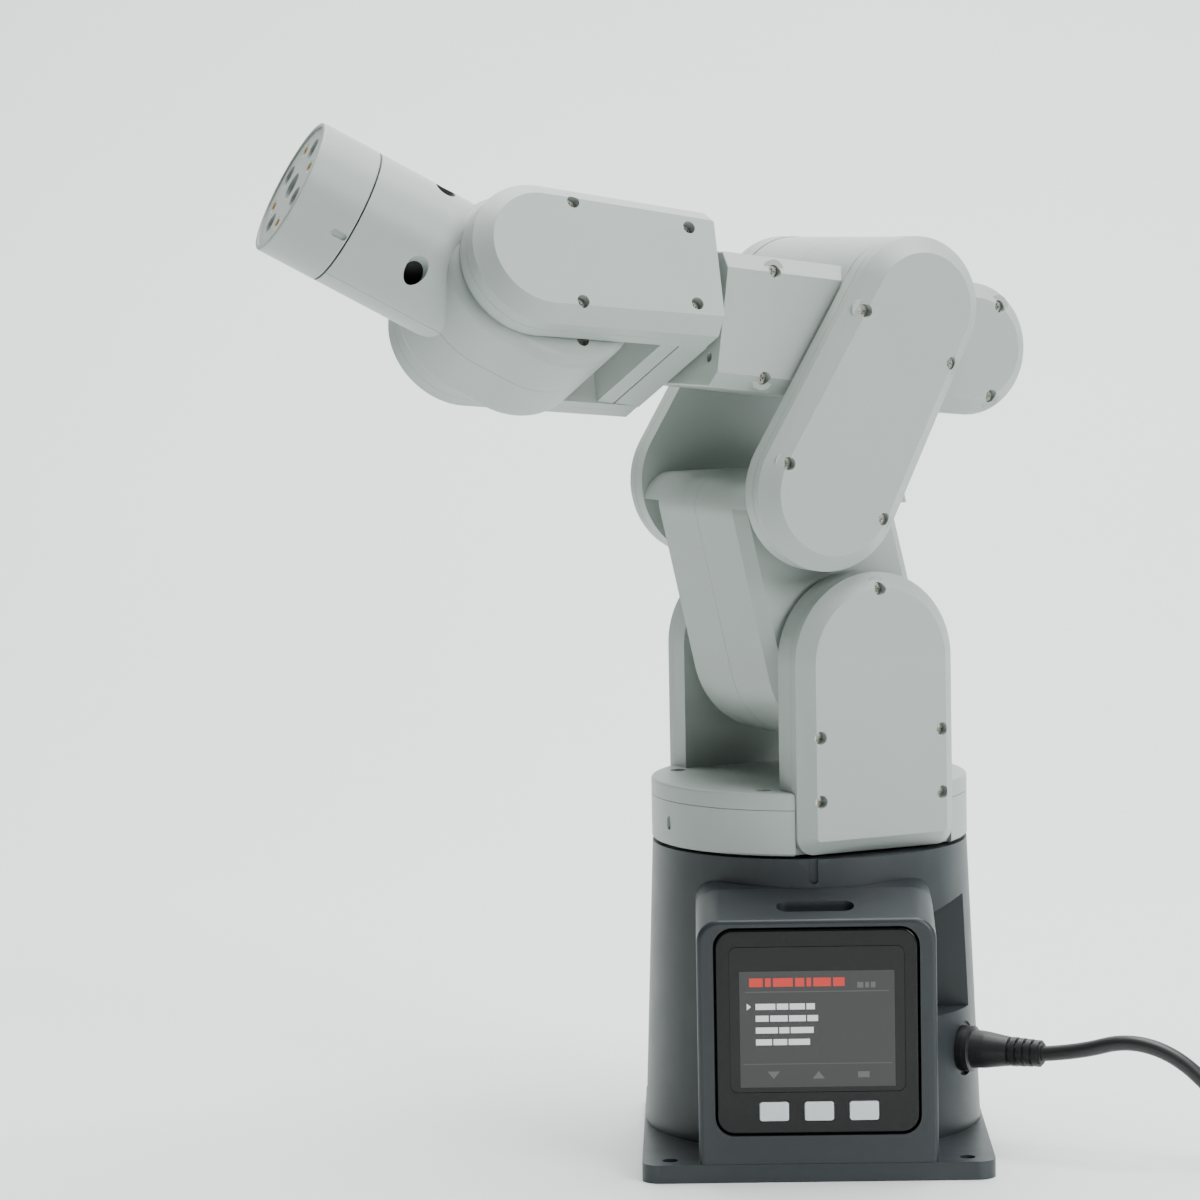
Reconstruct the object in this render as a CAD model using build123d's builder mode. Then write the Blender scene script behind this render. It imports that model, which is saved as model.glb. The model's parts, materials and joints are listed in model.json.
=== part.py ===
"""Desktop robot arm with a display base, six rotary joints and a DC power lead.

World frame: X to the right, Y to the back, Z up, millimetres.  The origin is where the yaw
axis meets the table, and the display looks along -Y.  Each link is drawn in its own axes:
x forward along the link, y along its hinge axis, z up.
"""
from build123d import *
from math import asin, atan2, cos, hypot, pi, radians, sin, tan
import os

# ---------------------------------------------------------------- driving dimensions
# base
FLANGE_W = 93.6
FLANGE_FRONT = -61.4
FLANGE_BACK = 46.8
FLANGE_T = 4.9
FLANGE_R = 5.0
BOLT_X = 39.4
BOLT_Y_FRONT = -55.3
BOLT_Y_BACK = 40.7
BOLT_D = 4.3
COLUMN_R_FOOT = 46.5
COLUMN_R_TOP = 43.3
COLUMN_TOP = 83.2
WALL = 2.6
COLUMN_BORE_R = 40.0
BLOCK_HALF = 31.6
BLOCK_FRONT = -61.2
BLOCK_TOP = 69.8
BLOCK_BACK_TOP = 77.0
BLOCK_CORNER_R = 6.0
# display module
MODULE_W = 53.6
MODULE_H = 54.8
MODULE_Z = 40.2
MODULE_FACE_Y = -60.8
MODULE_DEPTH = 13.0
MODULE_R = 4.8
GLASS_T = 1.0
KEY_W = 7.7
KEY_H = 5.0
KEY_Z = 18.95
KEY_PITCH = 11.85
KEY_PROUD = 0.7
# turntable
TABLE_R = 43.4
TABLE_BOTTOM = 84.0
TABLE_SPLIT = 96.3
TABLE_TOP = 100.8
YAW_ANGLE = 27.4
# ears of the turntable, on each side of the shoulder axis
SHOULDER_Z = 135.0
EAR_R = 23.9
EAR_IN = 27.4
EAR_SPLIT = 34.2
EAR_OUT = 41.05
EAR_CHAMFER = 4.0
SEAM = 0.15
# upper arm
NECK_R = 24.0
NECK_HALF = 24.6
KNUCKLE = (13.3, 181.0)
SHELF_Z = 176.5
ELBOW = (-13.8, 229.1)
PLATE_R_LOW = 21.3
PLATE_R_HIGH = 18.9
PLATE_IN = 30.5
PLATE_SPLIT = 34.8
PLATE_OUT = 42.05
PLATE_CHAMFER = 4.4
# forearm
FORE_PITCH = 7.5
ROLL_DROP = 8.85
FORE_HALF = 28.4
FORE_HALF_H = 18.0
FORE_FRONT = 52.5
TAIL_X = -25.2
TAIL_R = 18.0
FORE_CHAMFER = 4.1
DRUM_R = 18.75
DRUM_HALF = 29.9
# fork that rolls on the forearm
ROLL_ANGLE = 25.0
FORK_BACK = 55.0
WRIST_X = 105.0
FORK_R = 19.7
FORK_BACK_HALF = 18.0
FORK_IN = 19.5
FORK_SPLIT = 23.2
FORK_OUT = 31.2
FORK_CHAMFER = 4.1
WEB_FRONT = 68.0
# wrist
WRIST_PITCH = 23.7
WRIST_R = 21.8
WRIST_TAIL = -11.0
WRIST_HALF = 18.4
TUBE_R = 18.6
FLANGE_FACE = 62.7
FLANGE_LEN = 16.8
FLANGE_GAP = 0.35
# screws
SCREW_HEAD_R = 1.5
SCREW_SHANK_R = 0.9
HEAD_HOLE_R = 1.75
HOLE_DEPTH = 3.6
# fits
PIN_R = 8.0
PIN_GAP = 0.05
NECK_BEVEL = 3.0
HUB_R = 14.0
YAW_HUB_BOTTOM = 73.2
ROLL_HUB_BACK = 47.6
ROLL_HUB_FRONT = 60.0
TUBE_END = FLANGE_FACE - FLANGE_LEN - FLANGE_GAP
FLANGE_HUB_BACK = 41.8
# tool face
TOOL_BORE_R = 4.0
PEG_CIRCLE_R = 11.3
PEG_HOLE_R = 2.45
TOOL_BOLT_R = 12.0
INSERT_R = 1.9
# power lead
LEAD_D = 4.2
LEAD_LENGTH = 930.0
JACK_ANGLE = 25.0
JACK_Z = 27.0


def inside(link, plane):
    """A plane given in a link's own axes, as a plane of the whole model."""
    return Plane(link.location * plane.location)


def side(link, offset):
    """The x-z plane of a link, moved to y = offset.  Negative extrusions go towards +y."""
    return inside(link, Plane.XZ.offset(-offset))


# ---------------------------------------------------------------- link frames
yaw = radians(180 + YAW_ANGLE)
ARM = Plane(origin=(0, 0, 0), x_dir=(cos(yaw), sin(yaw), 0), z_dir=(0, 0, 1))
pitch = radians(FORE_PITCH)
FORE = inside(ARM, Plane(origin=(ELBOW[0], 0, ELBOW[1]), x_dir=(cos(pitch), 0, sin(pitch)),
                         z_dir=(-sin(pitch), 0, cos(pitch))))
roll = radians(ROLL_ANGLE)
FORK = inside(FORE, Plane(origin=(0, 0, -ROLL_DROP), x_dir=(1, 0, 0), z_dir=(0, -sin(roll), cos(roll))))
bend = radians(WRIST_PITCH)
WRIST = inside(FORK, Plane(origin=(WRIST_X, 0, 0), x_dir=(cos(bend), 0, sin(bend)),
                           z_dir=(-sin(bend), 0, cos(bend))))


def save(piece, name):
    piece.part.label = name
    export_step(piece.part, f"parts/{name}.step")


def hull_of(circles):
    """Fills the outline that wraps round circles, each as (centre, radius), in any order."""
    middle = (sum(c[0] for c, r in circles) / len(circles), sum(c[1] for c, r in circles) / len(circles))
    ring = sorted(circles, key=lambda item: atan2(item[0][1] - middle[1], item[0][0] - middle[0]))
    facing = []
    for (here, r_here), (there, r_there) in zip(ring, ring[1:] + ring[:1]):
        heading = atan2(there[1] - here[1], there[0] - here[0])
        gap = hypot(there[0] - here[0], there[1] - here[1])
        facing.append(heading - pi / 2 + asin((r_here - r_there) / gap))
    with BuildLine() as outline:
        for index, (centre, radius) in enumerate(ring):
            start, end = facing[index - 1], facing[index]
            sweep_angle = (end - start) % (2 * pi)
            corners = [(centre[0] + radius * cos(start + part * sweep_angle),
                        centre[1] + radius * sin(start + part * sweep_angle)) for part in (0, 0.5, 1)]
            ThreePointArc(*corners)
            after, r_after = ring[(index + 1) % len(ring)]
            Line(corners[2], (after[0] + r_after * cos(end), after[1] + r_after * sin(end)))
    make_face(outline.edges())


def slab(link, circles, start, end, mode=Mode.ADD):
    """A plate between y = start and y = end of a link, with the outline around some circles."""
    with BuildSketch(side(link, start)) as face:
        hull_of(circles)
    extrude(face.sketch, amount=start - end, mode=mode)


def rod(link, centre, radius, start, end, mode=Mode.ADD):
    """A round bar along a link's y axis, centred on (x, z) = centre."""
    with BuildSketch(side(link, start)) as face:
        with Locations(centre):
            Circle(radius)
    extrude(face.sketch, amount=start - end, mode=mode)


def block(link, low, high, mode=Mode.ADD):
    """A box between two corners given in a link's axes."""
    size = [b - a for a, b in zip(low, high)]
    middle = [(a + b) / 2 for a, b in zip(low, high)]
    with BuildSketch(inside(link, Plane.XY.offset(low[2]))) as face:
        with Locations((middle[0], middle[1])):
            Rectangle(size[0], size[1])
    extrude(face.sketch, amount=size[2], mode=mode)


def shaft(link, radius, start, end, centre=(0, 0), mode=Mode.ADD):
    """A round bar along a link's x axis, centred on (y, z) = centre."""
    with BuildSketch(inside(link, Plane.YZ.offset(start))) as face:
        with Locations(centre):
            Circle(radius)
    extrude(face.sketch, amount=end - start, mode=mode)


def bevelled_slab(link, circles, tops, start, end, depth):
    """A slab whose outer rim slopes in, over the last `depth`, to the outline around `tops`."""
    out = 1 if end > start else -1
    knee = end - out * depth
    slab(link, circles, start, knee)
    with BuildSketch(side(link, knee)) as low:
        hull_of(circles)
    with BuildSketch(side(link, end)) as high:
        hull_of(tops)
    loft([low.sketch, high.sketch], ruled=True)


def shrink(circles, inset):
    return [(centre, radius - inset) for centre, radius in circles]


def bore_screws(link, places, out, inner, outer):
    """Counterbored screw holes from the outer face of a cover down through its bosses."""
    for place in places:
        rod(link, place, HEAD_HOLE_R, out * (outer - HOLE_DEPTH), out * (outer + 1), mode=Mode.SUBTRACT)
        rod(link, place, SCREW_SHANK_R + 0.1, out * (inner - 1), out * outer, mode=Mode.SUBTRACT)


def cut_half(link, out):
    """Trims a shell that bulges over the mid plane back to its own side of the seam."""
    near = out * SEAM / 2
    far = -out * 60
    block(link, (-90, min(near, far), -90), (130, max(near, far), 90), mode=Mode.SUBTRACT)


def screw_group(link, places, head_y, tip_y):
    """Pan-head cross screws along a link's y axis; head_y is the top of the heads."""
    out = 1 if head_y > tip_y else -1
    for place in places:
        rod(link, place, SCREW_HEAD_R, head_y, head_y - out * 1.2)
        rod(link, place, SCREW_SHANK_R, head_y - out * 1.2, tip_y)
        for length, width in ((1.7, 0.45), (0.45, 1.7)):
            with BuildSketch(side(link, head_y)) as face:
                with Locations(place):
                    Rectangle(length, width)
            extrude(face.sketch, amount=out * 0.5, mode=Mode.SUBTRACT)


def servo_body(link, output, length, width, turn, start, end):
    """A servo with its output at (x, z) = output, long side turned by `turn` degrees."""
    setback = width / 2 - 1.0
    with BuildSketch(side(link, start)) as face:
        with Locations(Location((output[0], output[1], 0), turn)):
            with Locations((length / 2 - setback, 0)):
                RectangleRounded(length, width, 1.5)
    extrude(face.sketch, amount=start - end)
    reach = 1.4 if end > start else -1.4
    rod(link, output, width / 2 - 2.0, end, end + reach)


def save_servo(name, link, output, length, width, turn, start, end):
    with BuildPart() as servo:
        servo_body(link, output, length, width, turn, start, end)
    save(servo, name)


os.makedirs("parts", exist_ok=True)


# ================================================================ base
def foot_flange():
    with BuildSketch() as face:
        with Locations((0, (FLANGE_FRONT + FLANGE_BACK) / 2)):
            RectangleRounded(FLANGE_W, FLANGE_BACK - FLANGE_FRONT, FLANGE_R)
    extrude(face.sketch, amount=FLANGE_T)


def display_block():
    """The raised block in front of the column, with a top that slopes back into it."""
    with BuildSketch(Plane.YZ.offset(-BLOCK_HALF)) as face:
        with BuildLine():
            Polyline((BLOCK_FRONT, 0), (BLOCK_FRONT, BLOCK_TOP), (-44, BLOCK_BACK_TOP - 1.5),
                     (-30, BLOCK_BACK_TOP), (-20, BLOCK_BACK_TOP), (-20, 0), (BLOCK_FRONT, 0))
        make_face()
    extrude(face.sketch, amount=2 * BLOCK_HALF)
    slopes = [e for e in edges() if abs(e.center().X) > BLOCK_HALF - 0.1
              and e.center().Z > BLOCK_TOP and e.center().Y < -24]
    fillet(slopes, radius=BLOCK_CORNER_R)
    rim = [e for e in edges() if abs(e.center().Y - BLOCK_FRONT) < 0.05 and e.center().Z > 8]
    fillet(rim, radius=1.4)


def column():
    with BuildSketch(Plane.XZ) as face:
        with BuildLine():
            Polyline((0, 0), (COLUMN_R_FOOT, 0), (COLUMN_R_TOP, COLUMN_TOP), (0, COLUMN_TOP), (0, 0))
        make_face()
    revolve(face.sketch, axis=Axis.Z)


JACK = Plane(origin=(0, 0, JACK_Z), x_dir=(cos(radians(JACK_ANGLE)), -sin(radians(JACK_ANGLE)), 0),
             z_dir=(0, 0, 1))
JACK_SEAT = 44.6
PLATE_BOSS = 27.0
RECESS_X = 31.6
RECESS_Y = -15.0
RECESS_Z = (38.0, 66.0)

with BuildPart() as base_housing:
    display_block()
    column()
    foot_flange()
    with Locations((0, 0, 0)):
        Cylinder(COLUMN_BORE_R, COLUMN_TOP - 3.8, align=(Align.CENTER, Align.CENTER, Align.MIN),
                 mode=Mode.SUBTRACT)
    Cylinder(42.0, 2.6, align=(Align.CENTER, Align.CENTER, Align.MIN), mode=Mode.SUBTRACT)
    with Locations((0, 0, COLUMN_TOP - 6)):
        Cylinder(HUB_R + PIN_GAP, 12, mode=Mode.SUBTRACT)
    # inner wall behind the side recess, then the recess itself
    with BuildSketch(Plane.XY.offset(RECESS_Z[0] - WALL)):
        Circle(41.0)
        with Locations((RECESS_X - WALL + 20, RECESS_Y + WALL - 20)):
            Rectangle(40, 40, mode=Mode.INTERSECT)
    extrude(amount=RECESS_Z[1] - RECESS_Z[0] + 2 * WALL)
    with BuildSketch(Plane.XZ.offset(-RECESS_Y)):
        with BuildLine():
            Polyline((RECESS_X, RECESS_Z[0]), (60, RECESS_Z[0]), (60, RECESS_Z[1] + 3.4),
                     (RECESS_X + 9, RECESS_Z[1] + 3), (RECESS_X, RECESS_Z[1]), (RECESS_X, RECESS_Z[0]))
        make_face()
    extrude(amount=50, mode=Mode.SUBTRACT)
    # pocket and cable window for the display module
    with BuildSketch(Plane.XZ.offset(-BLOCK_FRONT)):
        with Locations((0, MODULE_Z)):
            RectangleRounded(MODULE_W + 0.8, MODULE_H + 0.8, MODULE_R + 0.4)
    extrude(amount=-(MODULE_DEPTH + 0.9), mode=Mode.SUBTRACT)
    with BuildSketch(Plane.XZ.offset(48)):
        with Locations((0, MODULE_Z)):
            Rectangle(24, 14)
    extrude(amount=-16, mode=Mode.SUBTRACT)
    # finger notch over the module and the zero mark at the top of the column
    with BuildSketch(Plane.XY.offset(BLOCK_TOP - 0.4)):
        with Locations((0, -53.6)):
            SlotOverall(20.6, 5.6)
    extrude(amount=10, mode=Mode.SUBTRACT)
    with BuildSketch(Plane.XZ.offset(COLUMN_R_TOP - 0.9)):
        with Locations((0, 80.6)):
            SlotOverall(8.0, 2.4, rotation=90)
    extrude(amount=6, mode=Mode.SUBTRACT)
    # jack seat and hole
    shaft(JACK, 7.4, JACK_SEAT, JACK_SEAT + 6, mode=Mode.SUBTRACT)
    shaft(JACK, 5.1, 30, JACK_SEAT + 6, mode=Mode.SUBTRACT)
    # screw bosses for the bottom plate
    with BuildSketch(Plane.XY.offset(2.6)):
        with GridLocations(2 * PLATE_BOSS, 2 * PLATE_BOSS, 2, 2):
            Circle(3.4)
    extrude(amount=12)
    with BuildSketch(Plane.XY.offset(2.0)):
        with GridLocations(2 * PLATE_BOSS, 2 * PLATE_BOSS, 2, 2):
            Circle(1.0)
    extrude(amount=9, mode=Mode.SUBTRACT)
    # bolt holes through the foot flange
    with Locations(*[(x, y, 0) for x in (-BOLT_X, BOLT_X) for y in (BOLT_Y_FRONT, BOLT_Y_BACK)]):
        Cylinder(BOLT_D / 2, 30, mode=Mode.SUBTRACT)
save(base_housing, "base_housing")

with BuildPart() as base_bottom_plate:
    Cylinder(41.8, 2.5, align=(Align.CENTER, Align.CENTER, Align.MIN))
    with GridLocations(2 * PLATE_BOSS, 2 * PLATE_BOSS, 2, 2):
        Cylinder(1.2, 20, mode=Mode.SUBTRACT)
        Cylinder(2.1, 2.8, mode=Mode.SUBTRACT)
    with PolarLocations(16, 6):
        Cylinder(2.0, 20, mode=Mode.SUBTRACT)
save(base_bottom_plate, "base_bottom_plate")

with BuildPart() as base_plate_screws:
    with BuildSketch(Plane.XY.offset(0.3)):
        with GridLocations(2 * PLATE_BOSS, 2 * PLATE_BOSS, 2, 2):
            Circle(1.9)
    extrude(amount=1.0)
    with BuildSketch(Plane.XY.offset(1.3)):
        with GridLocations(2 * PLATE_BOSS, 2 * PLATE_BOSS, 2, 2):
            Circle(0.95)
    extrude(amount=8)
save(base_plate_screws, "base_plate_screws")

with BuildPart() as yaw_servo:
    with BuildSketch(Plane.XY.offset(34)):
        with Locations((0, 11.4)):
            RectangleRounded(24.7, 45.2, 1.5)
    extrude(amount=35)
    with Locations((0, 0, 69)):
        Cylinder(10, 2.0, align=(Align.CENTER, Align.CENTER, Align.MIN))
save(yaw_servo, "yaw_servo")

BRACKET_POSTS = (30.4, 36.0)

with BuildPart() as yaw_servo_bracket:
    with BuildSketch(Plane.XY.offset(30.7)):
        with Locations((0, 11.4)):
            RectangleRounded(36, 46, 3)
    extrude(amount=3.3)
    with BuildSketch(Plane.XY.offset(2.5)):
        with Locations((0, 11.4)):
            with GridLocations(*BRACKET_POSTS, 2, 2):
                Circle(2.4)
    extrude(amount=28.5)
save(yaw_servo_bracket, "yaw_servo_bracket")

with BuildPart() as yaw_bearing_outer:
    with BuildSketch(Plane.XY.offset(73.4)):
        Circle(22.0)
        Circle(18.2, mode=Mode.SUBTRACT)
    extrude(amount=5.9)
save(yaw_bearing_outer, "yaw_bearing_outer")

with BuildPart() as control_board:
    with BuildSketch(Plane.XY.offset(17)):
        RectangleRounded(52, 52, 3)
        with Locations((0, 11.4)):
            with GridLocations(*BRACKET_POSTS, 2, 2):
                Circle(2.5, mode=Mode.SUBTRACT)
    extrude(amount=1.6)
    with BuildSketch(Plane.XY.offset(18.6)):
        with Locations((0, 4)):
            Rectangle(14, 14)
        with Locations((0, -14)):
            Rectangle(18, 6)
    extrude(amount=4)
save(control_board, "control_board")

with BuildPart() as power_jack:
    shaft(JACK, 5.0, 31, JACK_SEAT + 0.1)
    shaft(JACK, 6.2, JACK_SEAT + 0.05, JACK_SEAT + 1.6)
    shaft(JACK, 3.4, 34, JACK_SEAT + 4, mode=Mode.SUBTRACT)
save(power_jack, "power_jack")

# ================================================================ display module
PANEL_W = 46.0
PANEL_H = 38.6
PANEL_Z = 43.4
CASE_FRONT_WALL = 2.0

with BuildPart() as display_case:
    with BuildSketch(Plane.XZ.offset(-MODULE_FACE_Y)):
        with Locations((0, MODULE_Z)):
            RectangleRounded(MODULE_W, MODULE_H, MODULE_R)
    extrude(amount=-MODULE_DEPTH)
    fillet(faces().sort_by(Axis.Y)[0].outer_wire().edges(), radius=0.8)
    with BuildSketch(Plane.XZ.offset(-MODULE_FACE_Y - CASE_FRONT_WALL)):
        with Locations((0, MODULE_Z)):
            RectangleRounded(MODULE_W - 3.6, MODULE_H - 3.6, 3)
    extrude(amount=-MODULE_DEPTH, mode=Mode.SUBTRACT)
    with BuildSketch(Plane.XZ.offset(-MODULE_FACE_Y)):
        with Locations((0, PANEL_Z)):
            RectangleRounded(PANEL_W + 0.3, PANEL_H + 0.3, 2.0)
    extrude(amount=-(GLASS_T + 0.1), mode=Mode.SUBTRACT)
    with BuildSketch(Plane.XZ.offset(-MODULE_FACE_Y)):
        with Locations(*[(k * KEY_PITCH + 0.2, KEY_Z) for k in (-1, 0, 1)]):
            RectangleRounded(KEY_W + 0.4, KEY_H + 0.4, 0.9)
    extrude(amount=-CASE_FRONT_WALL - 1, mode=Mode.SUBTRACT)
save(display_case, "display_case")

with BuildPart() as display_panel:
    with BuildSketch(Plane.XZ.offset(-MODULE_FACE_Y)):
        with Locations((0, PANEL_Z)):
            RectangleRounded(PANEL_W, PANEL_H, 1.9)
    extrude(amount=-GLASS_T)
save(display_panel, "display_panel")

with BuildPart() as display_board:
    with BuildSketch(Plane.XZ.offset(-MODULE_FACE_Y - 6.4)):
        with Locations((0, MODULE_Z)):
            RectangleRounded(MODULE_W - 4.4, MODULE_H - 4.4, 2.6)
    extrude(amount=-1.6)
    with BuildSketch(Plane.XZ.offset(-MODULE_FACE_Y - 8.0)):
        with Locations((0, MODULE_Z + 8)):
            Rectangle(18, 22)
    extrude(amount=-2.6)
save(display_board, "display_board")

with BuildPart() as key_switches:
    with BuildSketch(Plane.XZ.offset(-MODULE_FACE_Y - 4.2)):
        with Locations(*[(k * KEY_PITCH + 0.2, KEY_Z) for k in (-1, 0, 1)]):
            Rectangle(6, 3.6)
    extrude(amount=-2.2)
save(key_switches, "key_switches")

for place, key_name in ((-1, "button_left"), (0, "button_middle"), (1, "button_right")):
    with BuildPart() as button:
        with BuildSketch(Plane.XZ.offset(-MODULE_FACE_Y + KEY_PROUD)):
            with Locations((place * KEY_PITCH + 0.2, KEY_Z)):
                RectangleRounded(KEY_W, KEY_H, 0.7)
        extrude(amount=-(KEY_PROUD + CASE_FRONT_WALL + 0.6))
        fillet(faces().sort_by(Axis.Y)[0].outer_wire().edges(), radius=0.3)
        with BuildSketch(Plane.XZ.offset(-MODULE_FACE_Y - CASE_FRONT_WALL - 0.25)):
            with Locations((place * KEY_PITCH + 0.2, KEY_Z)):
                Rectangle(KEY_W + 1.6, KEY_H + 1.6)
        extrude(amount=-0.9)
    save(button, key_name)

# ================================================================ turntable
EAR_FOOT = 89.1
COVER_INSET = 2.6
EAR_SCREWS = [(-18.55, 98.75), (18.55, 98.75), (-18.55, 115.85), (18.55, 115.85), (0, 154.6)]
DECK_SCREWS = [(-27.6, -25.0), (27.6, -25.0), (-27.6, 25.0), (27.6, 25.0)]


def ear_outline(inset=0.0):
    side_x = EAR_R - 5.0
    return [((0, SHOULDER_Z), EAR_R - inset), ((-side_x, EAR_FOOT), 5.0 - inset),
            ((side_x, EAR_FOOT), 5.0 - inset)]


with BuildPart() as turntable_ring:
    with BuildSketch(ARM.offset(TABLE_BOTTOM)):
        Circle(TABLE_R)
    extrude(amount=TABLE_SPLIT - SEAM - TABLE_BOTTOM)
    chamfer(faces().sort_by(Axis.Z)[0].outer_wire().edges(), length=0.6)
    with BuildSketch(ARM.offset(YAW_HUB_BOTTOM)):
        Circle(HUB_R)
    extrude(amount=TABLE_BOTTOM - YAW_HUB_BOTTOM + 1)
    with BuildSketch(ARM.offset(TABLE_BOTTOM)):
        Circle(TABLE_R - 5)
        Circle(HUB_R + 4, mode=Mode.SUBTRACT)
    extrude(amount=8, mode=Mode.SUBTRACT)
    for out in (-1, 1):
        block(ARM, (-24.05, min(out * 34.15, out * 60), 70), (24.05, max(out * 34.15, out * 60), 110),
              mode=Mode.SUBTRACT)
    # index slot in the rim, on the side that the arm faces
    with BuildSketch(inside(ARM, Plane.YZ.offset(TABLE_R - 0.8))):
        with Locations((0, 90.2)):
            SlotOverall(3.8, 2.2, rotation=90)
    extrude(amount=4, mode=Mode.SUBTRACT)
save(turntable_ring, "turntable_ring")

with BuildPart() as yaw_horn:
    with BuildSketch(Plane.XY.offset(71.1)):
        Circle(9.0)
    extrude(amount=YAW_HUB_BOTTOM - 71.1)
    with BuildSketch(Plane.XY.offset(YAW_HUB_BOTTOM - 1.2)):
        with PolarLocations(6.5, 4):
            Circle(0.9)
    extrude(amount=1.2, mode=Mode.SUBTRACT)
save(yaw_horn, "yaw_horn")

with BuildPart() as yaw_bearing_inner:
    with BuildSketch(Plane.XY.offset(73.4)):
        Circle(17.7)
        Circle(HUB_R, mode=Mode.SUBTRACT)
    extrude(amount=5.9)
save(yaw_bearing_inner, "yaw_bearing_inner")

with BuildPart() as turntable_yoke:
    with BuildSketch(ARM.offset(TABLE_SPLIT)):
        Circle(TABLE_R)
    extrude(amount=TABLE_TOP - TABLE_SPLIT)
    fillet(faces().sort_by(Axis.Z)[-1].outer_wire().edges(), radius=0.8)
    for out in (-1, 1):
        block(ARM, (-24.05, min(out * 34.25, out * 60), 90), (24.05, max(out * 34.25, out * 60), 110),
              mode=Mode.SUBTRACT)
        ear = [((0, SHOULDER_Z), EAR_R), ((-EAR_R + 0.6, TABLE_SPLIT + 0.6), 0.6),
               ((EAR_R - 0.6, TABLE_SPLIT + 0.6), 0.6)]
        slab(ARM, ear, out * EAR_IN, out * EAR_SPLIT)
        rod(ARM, (0, SHOULDER_Z), PIN_R + PIN_GAP, out * 20, out * 40, mode=Mode.SUBTRACT)
        for place in EAR_SCREWS:
            rod(ARM, place, SCREW_SHANK_R + 0.1, out * (EAR_SPLIT - 5), out * 40, mode=Mode.SUBTRACT)
    # countersunk holes in the deck
    with BuildSketch(ARM.offset(TABLE_TOP)):
        with Locations(*DECK_SCREWS):
            Circle(2.2)
    extrude(amount=-1.6, mode=Mode.SUBTRACT)
    with BuildSketch(ARM.offset(TABLE_TOP)):
        with Locations(*DECK_SCREWS):
            Circle(1.0)
    extrude(amount=-12, mode=Mode.SUBTRACT)
save(turntable_yoke, "turntable_yoke")

with BuildPart() as deck_screws:
    with BuildSketch(ARM.offset(TABLE_TOP - 1.6)):
        with Locations(*DECK_SCREWS):
            Circle(2.0)
    extrude(amount=1.2)
    with BuildSketch(ARM.offset(TABLE_TOP - 1.6)):
        with Locations(*DECK_SCREWS):
            Circle(SCREW_SHANK_R)
    extrude(amount=-(TABLE_TOP - 1.6 - TABLE_SPLIT))
save(deck_screws, "deck_screws")

for out, cover_name in ((1, "ear_cover_front"), (-1, "ear_cover_rear")):
    with BuildPart() as cover:
        bevelled_slab(ARM, ear_outline(), ear_outline(EAR_CHAMFER), out * (EAR_SPLIT + 0.1), out * EAR_OUT,
                      EAR_CHAMFER)
        slab(ARM, ear_outline(COVER_INSET), out * EAR_SPLIT, out * (EAR_OUT - 3.4), mode=Mode.SUBTRACT)
        for place in EAR_SCREWS:
            rod(ARM, place, 3.2, out * (EAR_SPLIT + 0.1), out * (EAR_OUT - 2.0))
        bore_screws(ARM, EAR_SCREWS, out, EAR_SPLIT, EAR_OUT)
    save(cover, cover_name)

with BuildPart() as ear_cover_screws:
    for out in (-1, 1):
        screw_group(ARM, EAR_SCREWS, out * (EAR_OUT - HOLE_DEPTH + 1.2), out * (EAR_SPLIT - 4.0))
save(ear_cover_screws, "ear_cover_screws")

with BuildPart() as shoulder_pins:
    for out in (-1, 1):
        rod(ARM, (0, SHOULDER_Z), PIN_R, out * (NECK_HALF - 3.2), out * EAR_SPLIT)
        rod(ARM, (0, SHOULDER_Z), 10.0, out * EAR_SPLIT, out * (EAR_SPLIT + 1.7))
save(shoulder_pins, "shoulder_pins")

# ================================================================ upper arm
NECK = [((0, SHOULDER_Z), NECK_R), ((25.9, 175.8), 8.0), ((-9.5, 179.8), 4.0)]
PILL = [(KNUCKLE, PLATE_R_LOW), (ELBOW, PLATE_R_HIGH)]
PILL_LENGTH = ((ELBOW[0] - KNUCKLE[0]) ** 2 + (ELBOW[1] - KNUCKLE[1]) ** 2) ** 0.5
ALONG = ((ELBOW[0] - KNUCKLE[0]) / PILL_LENGTH, (ELBOW[1] - KNUCKLE[1]) / PILL_LENGTH)
SIDE_SCREWS = [(KNUCKLE[0] + u * ALONG[0] + v * ALONG[1], KNUCKLE[1] + u * ALONG[1] - v * ALONG[0])
               for u, v in ((0.2, -16.3), (0.2, 16.3), (46.2, -15.0), (46.2, 15.0))]


for out, shell_name in ((1, "upper_arm_front_shell"), (-1, "upper_arm_rear_shell")):
    with BuildPart() as shell:
        bevelled_slab(ARM, NECK, shrink(NECK, NECK_BEVEL), out * SEAM / 2, out * NECK_HALF, NECK_BEVEL)
        slab(ARM, shrink(NECK, WALL), 0, out * (NECK_HALF - WALL), mode=Mode.SUBTRACT)
        # the shelf that carries the side plate, and the plate itself
        with BuildSketch(side(ARM, out * (NECK_HALF - 4.0))):
            hull_of(NECK)
            with Locations((0, SHELF_Z + 25)):
                Rectangle(200, 50, mode=Mode.INTERSECT)
        extrude(amount=-out * (PLATE_IN - NECK_HALF + 4.0))
        slab(ARM, PILL, out * PLATE_IN, out * (PLATE_SPLIT - SEAM))
        rod(ARM, ELBOW, PIN_R + PIN_GAP, out * (PLATE_IN - 2), out * (PLATE_SPLIT + 2), mode=Mode.SUBTRACT)
        for place in SIDE_SCREWS:
            rod(ARM, place, SCREW_SHANK_R + 0.1, out * (PLATE_IN + 0.6), out * 40, mode=Mode.SUBTRACT)
        # shoulder bore
        rod(ARM, (0, SHOULDER_Z), 12.0, out * (NECK_HALF - 4.2), out * (NECK_HALF - 1))
        rod(ARM, (0, SHOULDER_Z), PIN_R + PIN_GAP, out * (NECK_HALF - 8), out * (NECK_HALF + 2),
            mode=Mode.SUBTRACT)
    save(shell, shell_name)

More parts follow.
